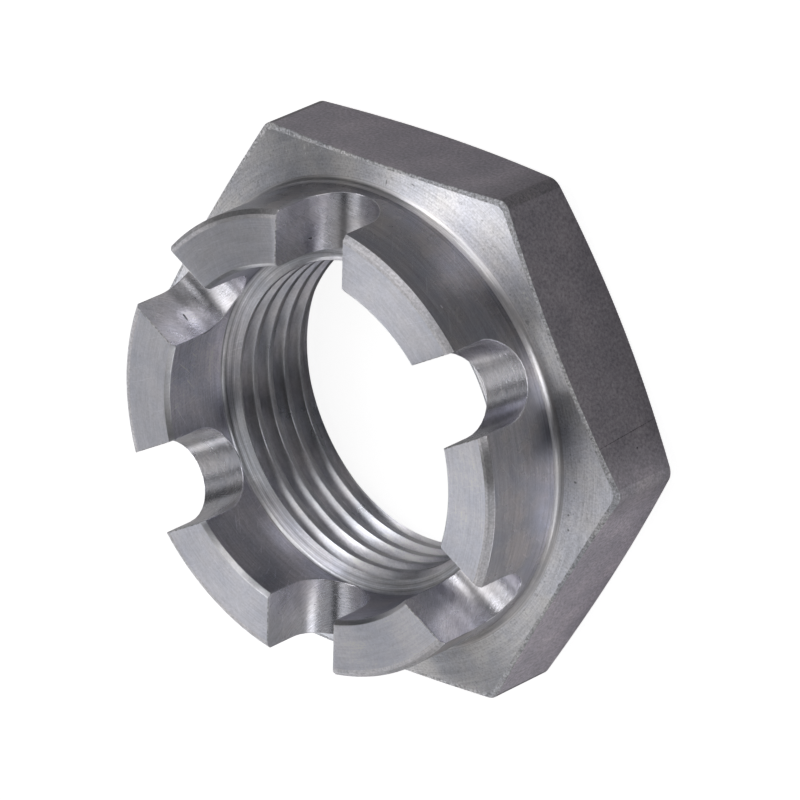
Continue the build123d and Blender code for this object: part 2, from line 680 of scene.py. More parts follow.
    def cut_by_entry(self, radius: np.ndarray, height: np.ndarray) -> tuple[np.ndarray, np.ndarray]:
        """Cut the thread back to its 45 degree countersink on the bearing face.

        Radius = the larger of the thread's and (entry radius - height), and of two neighbouring
        points either side of the crossing the nearer one moves onto it.

        Args:
            radius: Radii of the thread's points, rising along each line.
            height: Their heights.

        Returns:
            The changed radii and heights.
        """
        over = radius + height - self.entry_radius
        crossing = (over[:, :-1] < 0) != (over[:, 1:] < 0)
        share = np.where(crossing, over[:, :-1] / np.where(crossing, over[:, :-1] - over[:, 1:], 1), 0)
        met_r = radius[:, :-1] + share * (radius[:, 1:] - radius[:, :-1])
        met_z = height[:, :-1] + share * (height[:, 1:] - height[:, :-1])
        held = np.clip(height, 0, None)
        new_r = np.where(over < 0, self.entry_radius - held, radius)
        new_z = np.where(over < 0, held, height)
        rows, at = np.nonzero(crossing & (met_z > 0))
        to = at + (share[rows, at] > 0.5)
        new_r[rows, to], new_z[rows, to] = met_r[rows, at], met_z[rows, at]
        return new_r, new_z

    def build(self) -> bpy.types.Object:
        """Make the nut's mesh object: grid points, quads round both ways, then doubles merged.

        Point = (radius * cos(azimuth), radius * sin(azimuth), height) for each line and point.

        Returns:
            The object, at the origin, with smooth shading and area-weighted normals.
        """
        cut = self.section()
        angle = self.azimuth(cut.radius)
        points = np.stack([cut.radius * np.cos(angle), cut.radius * np.sin(angle), cut.height], axis=-1)
        lines, per = cut.radius.shape
        u, t = (index.ravel() for index in np.meshgrid(np.arange(lines - 1), np.arange(per), indexing="ij"))
        t_next = (t + 1) % per
        quads = np.stack([u * per + t, (u + 1) * per + t, (u + 1) * per + t_next, u * per + t_next], axis=1)
        zone = self.quad_zones(cut, u, t)
        mesh = bpy.data.meshes.new("castle_nut_body")
        mesh.vertices.add(lines * per)
        mesh.vertices.foreach_set("co", (points * MM).ravel())
        mesh.loops.add(quads.size)
        mesh.loops.foreach_set("vertex_index", quads.ravel())
        mesh.polygons.add(len(quads))
        mesh.polygons.foreach_set("loop_start", np.arange(0, quads.size, 4))
        mesh.polygons.foreach_set("material_index", zone)
        marks = mesh.uv_layers.new(name="marks")
        marks.data.foreach_set("uv", self.mark_coordinates(cut, angle, quads, zone).ravel())
        mesh.update(calc_edges=True)
        return self.finish(mesh)

    def quad_zones(self, cut: Section, line: np.ndarray, point: np.ndarray) -> np.ndarray:
        """Give each quad its zone: its point's own, but slot, corner or edge by the lines beside it.

        Args:
            cut: The section.
            line: First line of each quad.
            point: First point of each quad.

        Returns:
            Zones, as whole numbers.
        """
        n = self.lines
        kinds = (n.in_slot, n.in_corner, n.in_break)
        in_slot, in_corner, in_break = (kind[line] & kind[line + 1] for kind in kinds)
        spanned = (point >= cut.slot_span[0]) & (point < cut.slot_span[1])
        zone = cut.zones[point]
        zone = np.where(spanned & in_slot, int(Zone.SLOT), zone)
        zone = np.where((zone == Zone.FLAT) & in_corner, int(Zone.CORNER), zone)
        return np.where((zone == Zone.CROWN_END) & spanned & in_break, int(Zone.EDGE), zone)

    def mark_coordinates(
        self, cut: Section, angle: np.ndarray, quads: np.ndarray, zone: np.ndarray
    ) -> np.ndarray:
        """Coordinates, in metres, that the cutter's marks follow on the slots.

        On a slot they are the radius and the length along its outline from the middle of its
        floor. Every other face has the length along the nearest flat and the height. Each slot
        and flat is shifted from the last, so no two carry the same marks.

        Args:
            cut: The section.
            angle: Azimuths of its points.
            quads: Corner indices of each quad.
            zone: Zone of each quad.

        Returns:
            Pairs, shape (quads, 4, 2).
        """
        r, z, a = (values.ravel()[quads] for values in (cut.radius, cut.height, angle))
        middle = a.mean(axis=1, keepdims=True)
        flat = np.floor(middle / self.slot_spacing)
        along = r * np.sin(a - (flat + 0.5) * self.slot_spacing) + flat * self.face_shift
        slot = np.round((middle - self.first_slot) / self.slot_spacing)
        y = r * np.sin(a - (self.first_slot + slot * self.slot_spacing))
        drop = np.clip(self.slot_centre_height - z, 0, None)
        bend = np.arctan2(y, np.maximum(drop, 1e-9)) * self.slot_half
        rise = np.sign(y) * np.clip(z - self.slot_centre_height, 0, None)
        is_slot = (zone == Zone.SLOT)[:, None]
        first = np.where(is_slot, r, along)
        second = np.where(is_slot, bend + rise + slot * self.face_shift, z)
        return np.stack([first, second], axis=-1) * MM

    def finish(self, mesh: bpy.types.Mesh) -> bpy.types.Object:
        """Merge the grid's double points and give the mesh its shading normals.

        Args:
            mesh: The grid's mesh.

        Returns:
            The finished object, linked to the scene.
        """
        work = bmesh.new()
        work.from_mesh(mesh)
        bmesh.ops.remove_doubles(work, verts=work.verts, dist=self.merge_distance * MM)
        work.to_mesh(mesh)
        work.free()
        mesh.shade_smooth()
        mesh.set_sharp_from_angle(angle=math.radians(self.sharp_angle))
        body = bpy.data.objects.new("castle_nut_body", mesh)
        bpy.context.scene.collection.objects.link(body)
        weighted = body.modifiers.new("weighted", "WEIGHTED_NORMAL")
        weighted.keep_sharp = True
        with bpy.context.temp_override(object=body, active_object=body, selected_objects=[body]):
            bpy.ops.object.modifier_apply(modifier=weighted.name)
        return body


class NodeSheet:
    """Short hand for putting together one material's nodes."""

    def __init__(self, name: str) -> None:
        """Start an empty node material.

        Args:
            name: The material's name.
        """
        self.material = bpy.data.materials.new(name)
        self.material.use_nodes = True
        self.tree = self.material.node_tree
        self.tree.nodes.clear()

    def node(
        self, kind: str, inputs: dict[int | str, Value] | None = None, **settings: object
    ) -> bpy.types.Node:
        """Add a node, set its properties and fill its inputs.

        Args:
            kind: The node's type.
            inputs: What its inputs take, by name or number.
            settings: The node's properties.

        Returns:
            The node.
        """
        made = self.tree.nodes.new(kind)
        for key, value in settings.items():
            setattr(made, key, value)
        for key, value in (inputs or {}).items():
            if isinstance(value, Socket):
                self.tree.links.new(value, made.inputs[key])
            else:
                made.inputs[key].default_value = value
        return made

    def math(self, operation: str, *values: Value) -> Socket:
        """Add a Math node and return its value."""
        return self.node("ShaderNodeMath", dict(enumerate(values)), operation=operation).outputs[0]

    def vector(self, operation: str, *values: Value) -> bpy.types.Node:
        """Add a Vector Math node."""
        return self.node("ShaderNodeVectorMath", dict(enumerate(values)), operation=operation)

    def noise(self, place: Value, size: float, detail: float = 2.0, roughness: float = 0.5) -> Socket:
        """Add a 3D noise of a size in the place's own units and return its value, about 0.5."""
        inputs = {"Vector": place, "Scale": 1 / size, "Detail": detail, "Roughness": roughness}
        return self.node("ShaderNodeTexNoise", inputs).outputs["Fac"]

    def remap(self, value: Value, low: float, high: float, to_low: float, to_high: float) -> Socket:
        """Map a value's range onto another, clamped."""
        values = (value, low, high, to_low, to_high)
        return self.node("ShaderNodeMapRange", dict(enumerate(values)), clamp=True).outputs[0]

    def mapped(self, place: Value, location: Sequence[float], turn: Triple, scale: Sequence[float]) -> Socket:
        """Coordinates as seen from a place that is moved, turned and scaled."""
        inputs = {"Vector": place, "Location": location, "Rotation": turn, "Scale": scale}
        return self.node("ShaderNodeMapping", inputs, vector_type="TEXTURE").outputs[0]

    def join(self, x: Value, y: Value, z: Value = 0.0) -> Socket:
        """Join three values into a vector."""
        return self.node("ShaderNodeCombineXYZ", {0: x, 1: y, 2: z}).outputs[0]

    def split(self, vector: Value) -> tuple[Socket, ...]:
        """Take a vector apart."""
        return tuple(self.node("ShaderNodeSeparateXYZ", {0: vector}).outputs)

    def length(self, vector: Value) -> Socket:
        """Length of a vector."""
        return self.vector("LENGTH", vector).outputs["Value"]

    def about(self, value: Value, reach: float) -> Socket:
        """Turn a noise value into a factor about 1: 1 + reach * (value - 0.5) * 2."""
        return self.math("MULTIPLY_ADD", self.math("SUBTRACT", value, 0.5), 2 * reach, 1.0)

    def blend(self, share: Value, a: Sequence[float], b: Sequence[float]) -> Socket:
        """Mix two colours and return the colour."""
        return self.node("ShaderNodeMix", {0: share, 6: a, 7: b}, data_type="RGBA").outputs[2]


@dataclass(frozen=True)
class Mark:
    """A small ding, pit, crack or rubbed spot, or a stretch of painted light or painted shade, placed on one
    surface.

    It lies at a radius, azimuth and height, and reaches outwards, along and upwards. Its tone
    multiplies the surface's, and its rim is as ragged as a noise makes it.
    """

    radius: float
    azimuth: float
    height: float
    reach: Triple
    depth: float = 0.02
    tone: float = 0.4
    turn: float = 0.0
    ragged: float = 0.4
    core: float = 0.45
    rim_grain: float = 0.25

    def weight(self, sheet: NodeSheet, place: Socket) -> Socket:
        """Weight of the mark: 1 within its core and 0 beyond its reach, with an uneven rim.

        Args:
            sheet: The material's nodes.
            place: Object coordinates.

        Returns:
            A value output.
        """
        a = math.radians(self.azimuth)
        centre = (self.radius * math.cos(a), self.radius * math.sin(a), self.height)
        turn = (math.radians(self.turn), 0, a)
        local = sheet.mapped(place, [c * MM for c in centre], turn, [c * MM for c in self.reach])
        uneven = sheet.math("SUBTRACT", sheet.noise(place, self.rim_grain * MM, 3.0), 0.5)
        away = sheet.math("ADD", sheet.length(local), sheet.math("MULTIPLY", uneven, 4 * self.ragged))
        return sheet.remap(away, self.core, 1.0, 1.0, 0.0)


def painted_light_and_shade(
    radius: float, azimuth: float, height: float, reach: Triple, tone: float, ragged: float = 0.0
) -> Mark:
    """A stretch of painted light, lighter than the rest of its surface, or of painted shade, darker than it,
    without any depth.
    """
    return Mark(radius, azimuth, height, reach, 0.0, tone, ragged=ragged)


@dataclass(frozen=True)
class Ring:
    """A single line that the tool left all the way round, where height - radius is a given length."""

    fall: float
    half_width: float
    tone: float
    core: float = 0.4

    def weight(self, sheet: NodeSheet, fall: Socket) -> Socket:
        """Weight of the line, 1 within its core and 0 at its half width."""
        away = sheet.math("ABSOLUTE", sheet.math("SUBTRACT", fall, self.fall * MM))
        return sheet.remap(away, self.core * self.half_width * MM, self.half_width * MM, 1.0, 0.0)


class Lay(Enum):
    """Direction of a surface's tool marks."""

    ROUND = "rings about the axis"
    ALONG = "lines across the slot, along the cutter's path"


@dataclass(frozen=True)
class Grooves:
    """Fine lines that the tool left and the wider rings between them.

    Spacing and depth are in millimetres, contrast and rings shift the tone by that share, and
    anisotropy draws the highlight out across the lines. The stretches say how long the fine lines
    and the rings are.
    """

    spacing: float
    depth: float
    contrast: float
    rings: float
    anisotropy: float = 0.0
    lay: Lay = Lay.ROUND
    stretch: float = 6.0
    ring_spacings: float = 5.0
    ring_stretch: float = 3.0
    cutter_slope: float = 0.77
    tangent_turn: float = 0.25

    def coordinates(self, sheet: NodeSheet, place: Socket, spacings: float, stretch: float) -> Socket:
        """Coordinates in which the tool's lines are even: fine across them, long along them.

        Rings use (cosine, sine) of the azimuth and height - radius, so they close without a seam
        and run evenly over walls, ends, cones and fillets. Slots use radius - cutter slope *
        height, which is the cutter's own path.

        Args:
            sheet: The material's nodes.
            place: Object coordinates.
            spacings: Distance between lines, in spacings.
            stretch: Changes along a ring for each radius of length, or a straight line's length
                in such distances.

        Returns:
            A vector output.
        """
        fine = 1 / (self.spacing * spacings * MM)
        x, y, z = sheet.split(place)
        if self.lay is Lay.ALONG:
            u, v, _ = sheet.split(sheet.node("ShaderNodeUVMap", uv_map="marks").outputs[0])
            feed = sheet.math("MULTIPLY_ADD", z, -self.cutter_slope, u)
            return sheet.join(sheet.math("MULTIPLY", feed, fine), sheet.math("MULTIPLY", v, fine / stretch))
        radius = sheet.length(sheet.join(x, y))
        turn = [sheet.math("MULTIPLY", sheet.math("DIVIDE", v, radius), stretch) for v in (x, y)]
        return sheet.join(*turn, sheet.math("MULTIPLY", sheet.math("SUBTRACT", z, radius), fine))


@dataclass(frozen=True)
class Grain:
    """Even grain of the metal: its size and depth in millimetres and its share of tone."""

    contrast: float
    size: float = 0.2
    depth: float = 0.0005


@dataclass(frozen=True)
class SteelFinish:
    """Bare steel as one kind of tool leaves it; lengths are in millimetres.

    Cool and warm are the two tints that the smudges mix, and scratch and fleck are how much
    lighter or darker than the rest they are. Ranges and peaks are stretches of a noise's values,
    turns are in radians.
    """

    name: str
    tone: float
    roughness: float
    grain: Grain
    smudge: float
    cool: Triple
    warm: Triple
    grooves: Grooves | None = None
    scratch: float = 0.0
    fleck: float = 0.0
    marks: tuple[Mark, ...] = ()
    rings: tuple[Ring, ...] = ()
    smudge_size: float = 4.0
    tint_range: Pair = (0.35, 0.65)
    gloss_range: Pair = (0.3, 0.7)
    gloss_swing: float = 0.03
    scratch_reach: Triple = (4.0, 0.1, 2.0)
    scratch_turns: Pair = (0.5, -0.9)
    scratch_tilt: Pair = (0.6, 0.4)
    scratch_slides: Pair = (0.0, 0.7)
    scratch_peaks: Pair = (0.68, 0.76)
    scratch_depth: float = 0.002
    fleck_size: float = 0.45
    fleck_peaks: Pair = (0.63, 0.72)
    fleck_depth: float = 0.006

    def scratches(self, sheet: NodeSheet, place: Socket) -> Socket:
        """Sparse fine scratches in two directions: the peaks of a noise stretched 40 to 1.

        Args:
            sheet: The material's nodes.
            place: Object coordinates.

        Returns:
            Weight of the scratches, from 0 to 1.
        """
        reach = [size * MM for size in self.scratch_reach]
        found = []
        for turn, slide in zip(self.scratch_turns, self.scratch_slides):
            turns = (turn * self.scratch_tilt[0], turn * self.scratch_tilt[1], turn)
            local = sheet.mapped(place, [slide] * 3, turns, reach)
            found.append(sheet.remap(sheet.noise(local, 1.0, 1.0), *self.scratch_peaks, 0.0, 1.0))
        return sheet.math("MAXIMUM", *found)

    def features(self, sheet: NodeSheet, place: Socket) -> Iterator[tuple[Socket, float, float]]:
        """Work out the scratches, flecks, rings and marks, among them stretches of painted light and shade,
        one after another.

        Args:
            sheet: The material's nodes.
            place: Object coordinates.

        Yields:
            Each one's weight, its tone and its depth.
        """
        if self.scratch:
            yield self.scratches(sheet, place), 1 + self.scratch, self.scratch_depth
        if self.fleck:
            spots = sheet.noise(place, self.fleck_size * MM, 2.0, 0.7)
            yield sheet.remap(spots, *self.fleck_peaks, 0.0, 1.0), 1 - self.fleck, self.fleck_depth
        if self.rings:
            x, y, z = sheet.split(place)
            fall = sheet.math("SUBTRACT", z, sheet.length(sheet.join(x, y)))
            for ring in self.rings:
                yield ring.weight(sheet, fall), ring.tone, 0.0
        for mark in self.marks:
            yield mark.weight(sheet, place), mark.tone, mark.depth

    def material(self) -> bpy.types.Material:
        """Build the finish: lines, rings, grain, smudges, scratches and single marks, among them stretches of
        painted light and shade.

        Each of them multiplies the tone by a factor about 1, and most raise or sink the surface,
        which the bump node takes in metres. A feature's factor is 1 + weight * (tone - 1).

        Returns:
            The node material.
        """
        sheet = NodeSheet(self.name)
        place = sheet.node("ShaderNodeTexCoord").outputs["Object"]
        grain = sheet.noise(place, self.grain.size * MM, 3.0, 0.6)
        smudge = sheet.noise(place, self.smudge_size * MM, 3.0, 0.6)
        grained, smudged = sheet.about(grain, self.grain.contrast), sheet.about(smudge, self.smudge)
        factor = sheet.math("MULTIPLY", grained, smudged)
        height = sheet.math("MULTIPLY", grain, self.grain.depth * MM)
        if self.grooves:
            cut = self.grooves
            narrow = cut.coordinates(sheet, place, 1.0, cut.stretch)
            broad = cut.coordinates(sheet, place, cut.ring_spacings, cut.ring_stretch)
            fine, wide = sheet.noise(narrow, 1.0, 2.0, 0.6), sheet.noise(broad, 1.0, 3.0, 0.6)
            for noise, contrast in ((fine, cut.contrast), (wide, cut.rings)):
                factor = sheet.math("MULTIPLY", factor, sheet.about(noise, contrast))
            height = sheet.math("MULTIPLY_ADD", fine, cut.depth * MM, height)
        for weight, tone, depth in self.features(sheet, place):
            factor = sheet.math("MULTIPLY", factor, sheet.math("MULTIPLY_ADD", weight, tone - 1, 1.0))
            if depth:
                height = sheet.math("MULTIPLY_ADD", weight, -depth * MM, height)
        return self.shade(sheet, place, factor, height, smudge)

    def shade(
        self, sheet: NodeSheet, place: Socket, factor: Socket, height: Socket, smudge: Socket
    ) -> bpy.types.Material:
        """Feed tone, roughness, lay and height to the shader.

        Args:
            sheet: The material's nodes.
            place: Object coordinates.
            factor: Tone factor, about 1.
            height: Height of the surface, in metres.
            smudge: Slow noise that also shifts tint and roughness.

        Returns:
            The node material.
        """
        tints = [tuple(self.tone * c for c in tint) + (1.0,) for tint in (self.cool, self.warm)]
        tinted = sheet.blend(sheet.remap(smudge, *self.tint_range, 0.0, 1.0), *tints)
        scaled = sheet.node("ShaderNodeVectorMath", {0: tinted, "Scale": factor}, operation="SCALE")
        bump = sheet.node("ShaderNodeBump", {"Strength": 1.0, "Distance": 1.0, "Height": height})
        gloss = self.roughness - self.gloss_swing, self.roughness + self.gloss_swing
        inputs = {
            "Base Color": scaled.outputs[0],
            "Roughness": sheet.remap(smudge, *self.gloss_range, *gloss),
            "Metallic": 1.0,
            "Normal": bump.outputs[0],
        }
        if self.grooves and self.grooves.lay is Lay.ROUND:
            inputs["Tangent"] = sheet.vector("CROSS_PRODUCT", (0.0, 0.0, 1.0), place).outputs[0]
            inputs["Anisotropic"] = self.grooves.anisotropy
            inputs["Anisotropic Rotation"] = self.grooves.tangent_turn
        shader = sheet.node("ShaderNodeBsdfPrincipled", inputs)
        sheet.node("ShaderNodeOutputMaterial", {"Surface": shader.outputs[0]})
        return sheet.material


@dataclass(frozen=True)
class NutFinishes:
    """The finish of each of the nut's zones, with the marks and the painted light and shade that it carries,
    in millimetres and degrees.
    """

    nut: CastleNut
    root_rings: tuple[Ring, ...] = (
        Ring(-10.2, 0.05, 1.15),
        Ring(-10.42, 0.06, 0.82),
        Ring(-10.62, 0.07, 1.25),
        Ring(-10.86, 0.05, 0.82),
        Ring(-11.15, 0.05, 1.1),
        Ring(-11.5, 0.06, 0.88),
        Ring(-11.9, 0.06, 1.1),
        Ring(-12.14, 0.07, 0.75),
    )

    def on_cone(
        self, radius: float, azimuth: float, reach: Triple, *look: float, ragged: float = 0.4
    ) -> Mark:
        """A mark on the crown-side cone, whose height follows from its radius."""
        return Mark(radius, azimuth, self.nut.top_cone(radius), reach, *look, ragged=ragged)

    def cone(self) -> SteelFinish:
        """Turned cones, with dings and pits beside the flats' upper edges.

        Returns:
            The finish.
        """
        return SteelFinish(
            "turned_cone", 0.82, 0.33, Grain(0.45), 0.25, (0.965, 0.975, 1.06), (1.01, 0.99, 1.0),
            Grooves(0.14, 0.0012, 0.32, 0.22, 0.8), scratch=0.15, fleck=0.3,
            marks=(
                self.on_cone(21.7, 87, (0.35, 0.08, 0.3), 0.01, 0.5),
                self.on_cone(22.5, 80, (0.09, 0.3, 0.3), 0.01, 0.6),
                self.on_cone(22.7, 44.4, (0.16, 0.12, 0.3), 0.0, 1.9, ragged=0.2),
                self.on_cone(22.7, 43.0, (0.12, 0.2, 0.3), 0.0, 1.8, ragged=0.2),
                self.on_cone(22.3, 1.3, (0.14, 0.14, 0.3)),
                self.on_cone(21.9, -7, (0.12, 0.12, 0.3)),
                self.on_cone(22.1, -10.6, (0.1, 0.12, 0.3)),
                self.on_cone(22.9, -24.5, (0.25, 0.3, 0.4), 0.04, 0.35),
            ),
        )

    def flat(self) -> SteelFinish:
        """Drawn flats of the bar: grey and grained, with an upright scratch and a pit by one corner. The flat
        at -30 degrees is painted lighter, as painted light, and the flat at 30 degrees darker, as painted
        shade.

        Returns:
            The finish.
        """
        whole_flat = (4.0, 30.0, 30.0)
        return SteelFinish(
            "drawn_flat", 0.5, 0.5, Grain(0.65, 0.25, 0.006), 0.3, (1.0, 0.943, 1.05), (1.025, 0.948, 1.035),
            fleck=0.1,
            marks=(
                Mark(24.6, 9.5, 5.0, (3.0, 0.035, 6.0), 0.01, 0.45, turn=3, ragged=0.15),
                Mark(25.05, 6.6, 4.1, (2.0, 0.13, 0.13), 0.03, 0.3),
                # Painted light over the whole flat at -30 degrees and painted shade over the whole flat at 30
                # degrees.
                painted_light_and_shade(self.nut.flat_radius, -30, 4.5, whole_flat, 1.55),
                painted_light_and_shade(self.nut.flat_radius, 30, 4.5, whole_flat, 0.7),
            ),
        )

    def corner(self) -> SteelFinish:
        """Rounded corners of the bar, painted darker than the flats as painted shade, apart from the one at 0
        degrees, which a stretch of painted light lightens.

        Returns:
            The finish.
        """
        return SteelFinish(
            # The corners' low tone is painted shade; the stretch at 0 degrees is painted light.
            "drawn_corner_painted_shade", 0.27, 0.36, Grain(0.7, 0.2, 0.003), 0.3, (0.99, 0.95, 1.05), (1.03, 0.96, 1.02),
            marks=(painted_light_and_shade(26.0, 0, 4.5, (4.0, 4.0, 30.0), 2.3),),
        )

    def crown_wall(self) -> SteelFinish:
        """Outer wall of the crown, with the uppermost of the tool's rings at its root, painted lighter round
        -10 degrees as painted light and darker round 60 degrees as painted shade.

        Returns:
            The finish.
        """
        wall = self.nut.crown_radius
        return SteelFinish(
            "turned_wall", 0.455, 0.27, Grain(0.2), 0.2, (0.955, 0.965, 1.09), (1.045, 0.98, 1.0),
            Grooves(0.1, 0.001, 0.28, 0.25, 0.7), scratch=0.2, rings=self.root_rings[:2],
            marks=(
                Mark(wall, 50.3, 15.95, (2.0, 0.25, 0.08), 0.01, 2.2),
                # Painted light round -10 degrees and painted shade round 60 degrees.
                painted_light_and_shade(wall, -10, 14.0, (6.0, 10.0, 14.0), 1.4),
                painted_light_and_shade(wall, 60, 14.0, (6.0, 18.0, 14.0), 0.66),
            ),
        )

    def formed(self) -> SteelFinish:
        """Fillet at the crown's root, ringed by the tool's steps, with painted highlights round 28 and 66
        degrees.

        Returns:
            The finish.
        """
        return SteelFinish(
            "form_cut", 0.62, 0.33, Grain(0.15), 0.2, (0.985, 0.98, 1.04), (1.03, 0.99, 0.99),
            Grooves(0.1, 0.0012, 0.3, 0.25, 0.7), rings=self.root_rings,
            marks=(
                # Painted highlights on the fillet round 66 and 28 degrees.
                painted_light_and_shade(21.0, 66, 9.5, (2.0, 8.0, 0.9), 1.3),
                painted_light_and_shade(21.0, 28, 9.5, (2.0, 4.0, 0.9), 1.3),
            ),
        )

    def chamfer(self) -> SteelFinish:
        """Rough outer chamfer of the crown, with painted shade round 113 and 11 degrees.

        Returns:
            The finish.
        """
        half = self.nut.crown_outer_chamfer / 2
        radius, height = self.nut.crown_radius - half, self.nut.height - half
        return SteelFinish(
            "rough_chamfer", 0.72, 0.48, Grain(0.5, 0.22, 0.004), 0.15, (0.985, 0.98, 1.04),
            (1.01, 0.98, 1.01), Grooves(0.12, 0.001, 0.2, 0.2, 0.4),
            marks=(
                # Painted shade on the chamfer round 113 and 11 degrees.
                painted_light_and_shade(radius, 113, height, (2.0, 5.5, 0.9), 0.55, 0.1),
                painted_light_and_shade(radius, 11, height, (2.0, 2.4, 0.9), 0.5, 0.1),
            ),
        )

    def crown_end(self) -> SteelFinish:
        """Faced ends of the fingers, of which two are painted lighter as painted light and two darker as
        painted shade, and the bearing face.

        Returns:
            The finish.
        """
        # Painted light on the fingers at 0 and 300 degrees, painted shade on those at 120 and 180 degrees.
        tones = {0: 1.25, 300: 1.25, 120: 0.82, 180: 0.88}
        radius, reach = self.nut.finger_radius, (6.0, 9.0, 3.0)
        return SteelFinish(
            "faced_crown", 0.72, 0.38, Grain(0.2), 0.15, (0.955, 0.97, 1.08), (0.985, 0.975, 1.04),
            Grooves(0.13, 0.0006, 0.16, 0.12, 0.8), scratch=0.12, fleck=0.08,
            marks=tuple(painted_light_and_shade(radius, a, self.nut.height, reach, tone, 0.05) for a, tone in tones.items()),
        )

    def slot(self) -> SteelFinish:
        """Milled slots: the one at 29.3 degrees painted lighter as painted light, one with a crack through a
        painted highlight on a floor painted darker as painted shade, and one with a nick.

        Returns:
            The finish.
        """
        return SteelFinish(
            "milled_slot", 0.7, 0.27, Grain(0.2), 0.15, (0.965, 0.97, 1.065), (1.01, 0.98, 1.015),
            Grooves(0.12, 0.0015, 0.4, 0.15, lay=Lay.ALONG), scratch=0.1, fleck=0.1,
            marks=(
                # Painted light over the slot at 29.3 degrees.
                painted_light_and_shade(self.nut.finger_radius, 29.3, 13.5, (5.0, 5.0, 6.0), 1.2),
                # Painted shade round 157.5 and 161 degrees and a painted highlight round 161 degrees on the
                # floor of the slot at 149.3 degrees; the next mark is the crack.
                painted_light_and_shade(19.6, 157.5, 12.1, (3.3, 2.3, 2.3), 0.45),
                painted_light_and_shade(17.9, 161.0, 13.8, (2.9, 3.0, 3.4), 0.78, 0.1),
                painted_light_and_shade(17.5, 160.8, 13.7, (1.5, 3.0, 1.6), 1.75, 0.25),
                Mark(17.8, 161.2, 14.3, (0.4, 2.0, 0.1), 0.03, 0.25, turn=25),
                Mark(17.0, 101.3, 13.6, (0.12, 2.0, 0.3), 0.03, 0.2),
            ),
        )

    def bore(self) -> SteelFinish:
        """Plain bore inside the crown, painted lighter round 172 degrees as painted light.

        Returns:
            The finish.
        """
        return SteelFinish(
            "turned_bore", 0.58, 0.3, Grain(0.3), 0.3, (0.95, 0.955, 1.1), (1.0, 0.96, 1.04),
            Grooves(0.1, 0.001, 0.3, 0.22, 0.7), scratch=0.35,
            # Painted light on the bore wall round 172 degrees.
            marks=(painted_light_and_shade(self.nut.bore_radius, 172, 15.0, (3.0, 7.0, 9.0), 1.5),),
        )

    def seat(self) -> SteelFinish:
        """Sloping floor of the bore, ringed where the tool dwelt, and the crown's inner chamfer, with a
        painted highlight round 240 degrees.

        Returns:
            The finish.
        """
        return SteelFinish(
            "turned_seat", 0.66, 0.33, Grain(0.2), 0.2, (0.96, 0.98, 1.06), (1.01, 0.99, 1.01),
            Grooves(0.14, 0.0012, 0.35, 0.35, 0.8), scratch=0.15,
            # Painted highlight on the bore floor round 240 degrees.
            marks=(painted_light_and_shade(15.2, 240, 10.7, (2.0, 6.5, 1.2), 1.1, 0.1),),
            rings=(
                Ring(-4.62, 0.05, 0.7),
                Ring(-4.44, 0.05, 1.25),
                Ring(-4.22, 0.06, 0.75),
                Ring(-4.02, 0.05, 1.2),
            ),
        )

    def thread(self) -> SteelFinish:
        """Cut thread, with painted light on a stretch round 268 degrees and painted shade on one round 200
        degrees.

        Returns:
            The finish.
        """
        return SteelFinish(
            "cut_thread", 0.7, 0.3, Grain(0.2), 0.3, (0.965, 0.98, 1.06), (1.01, 0.98, 1.01),
            Grooves(0.18, 0.001, 0.35, 0.25, 0.7), scratch=0.1,
            marks=(
                # Painted light round 268 degrees and painted shade round 200 degrees.
                painted_light_and_shade(14.5, 268, 5.0, (3.0, 7.5, 12.0), 1.35),
                painted_light_and_shade(14.5, 200, 5.0, (3.0, 7.0, 12.0), 0.8),
            ),
        )

    def edge(self) -> SteelFinish:
        """Burred edges along the flats and round the fingers' ends.

        Returns:
            The finish.
        """
        return SteelFinish(
            "burred_edge", 0.6, 0.55, Grain(1.3, 0.22, 0.02), 0.3, (0.97, 0.98, 1.05), (1.01, 0.99, 1.0)
        )

    def in_order(self) -> list[SteelFinish]:
        """All the finishes, in the order of Zone.

        Returns:
            One finish for each zone.
        """
        crown = [self.crown_wall(), self.crown_end(), self.slot(), self.bore(), self.seat()]
        rest = [self.thread(), self.corner(), self.edge(), self.formed(), self.chamfer()]
        return [self.cone(), self.flat(), *crown, *rest]


@dataclass(frozen=True)
class Camera:
    """Camera that shows the nut from the photograph's place, fitted to its edges; lengths in metres."""

    place: Triple = (0.41704, 0.28457, 0.49508)
    right: Triple = (0.75670, 0.01536, -0.65358)
    upward: Triple = (-0.27503, 0.91444, -0.29693)
    backward: Triple = (0.59310, 0.40444, 0.69618)
    focal_pixels: float = 8232.12
    frame_pixels: float = 800.0
    sensor_mm: float = 36.0
    clip: Pair = (0.01, 100.0)

    def build(self) -> bpy.types.Object:
        """Make the camera and set it as the scene's.

        Returns:
            The camera.
        """
        data = bpy.data.cameras.new("camera")
        data.sensor_width = self.sensor_mm
        data.lens = self.focal_pixels * self.sensor_mm / self.frame_pixels
        data.clip_start, data.clip_end = self.clip
        camera = bpy.data.objects.new("camera", data)
        turn = Matrix((self.right, self.upward, self.backward)).transposed().to_4x4()
        camera.matrix_world = Matrix.Translation(self.place) @ turn
        bpy.context.scene.collection.objects.link(camera)
        bpy.context.scene.camera = camera
        return camera


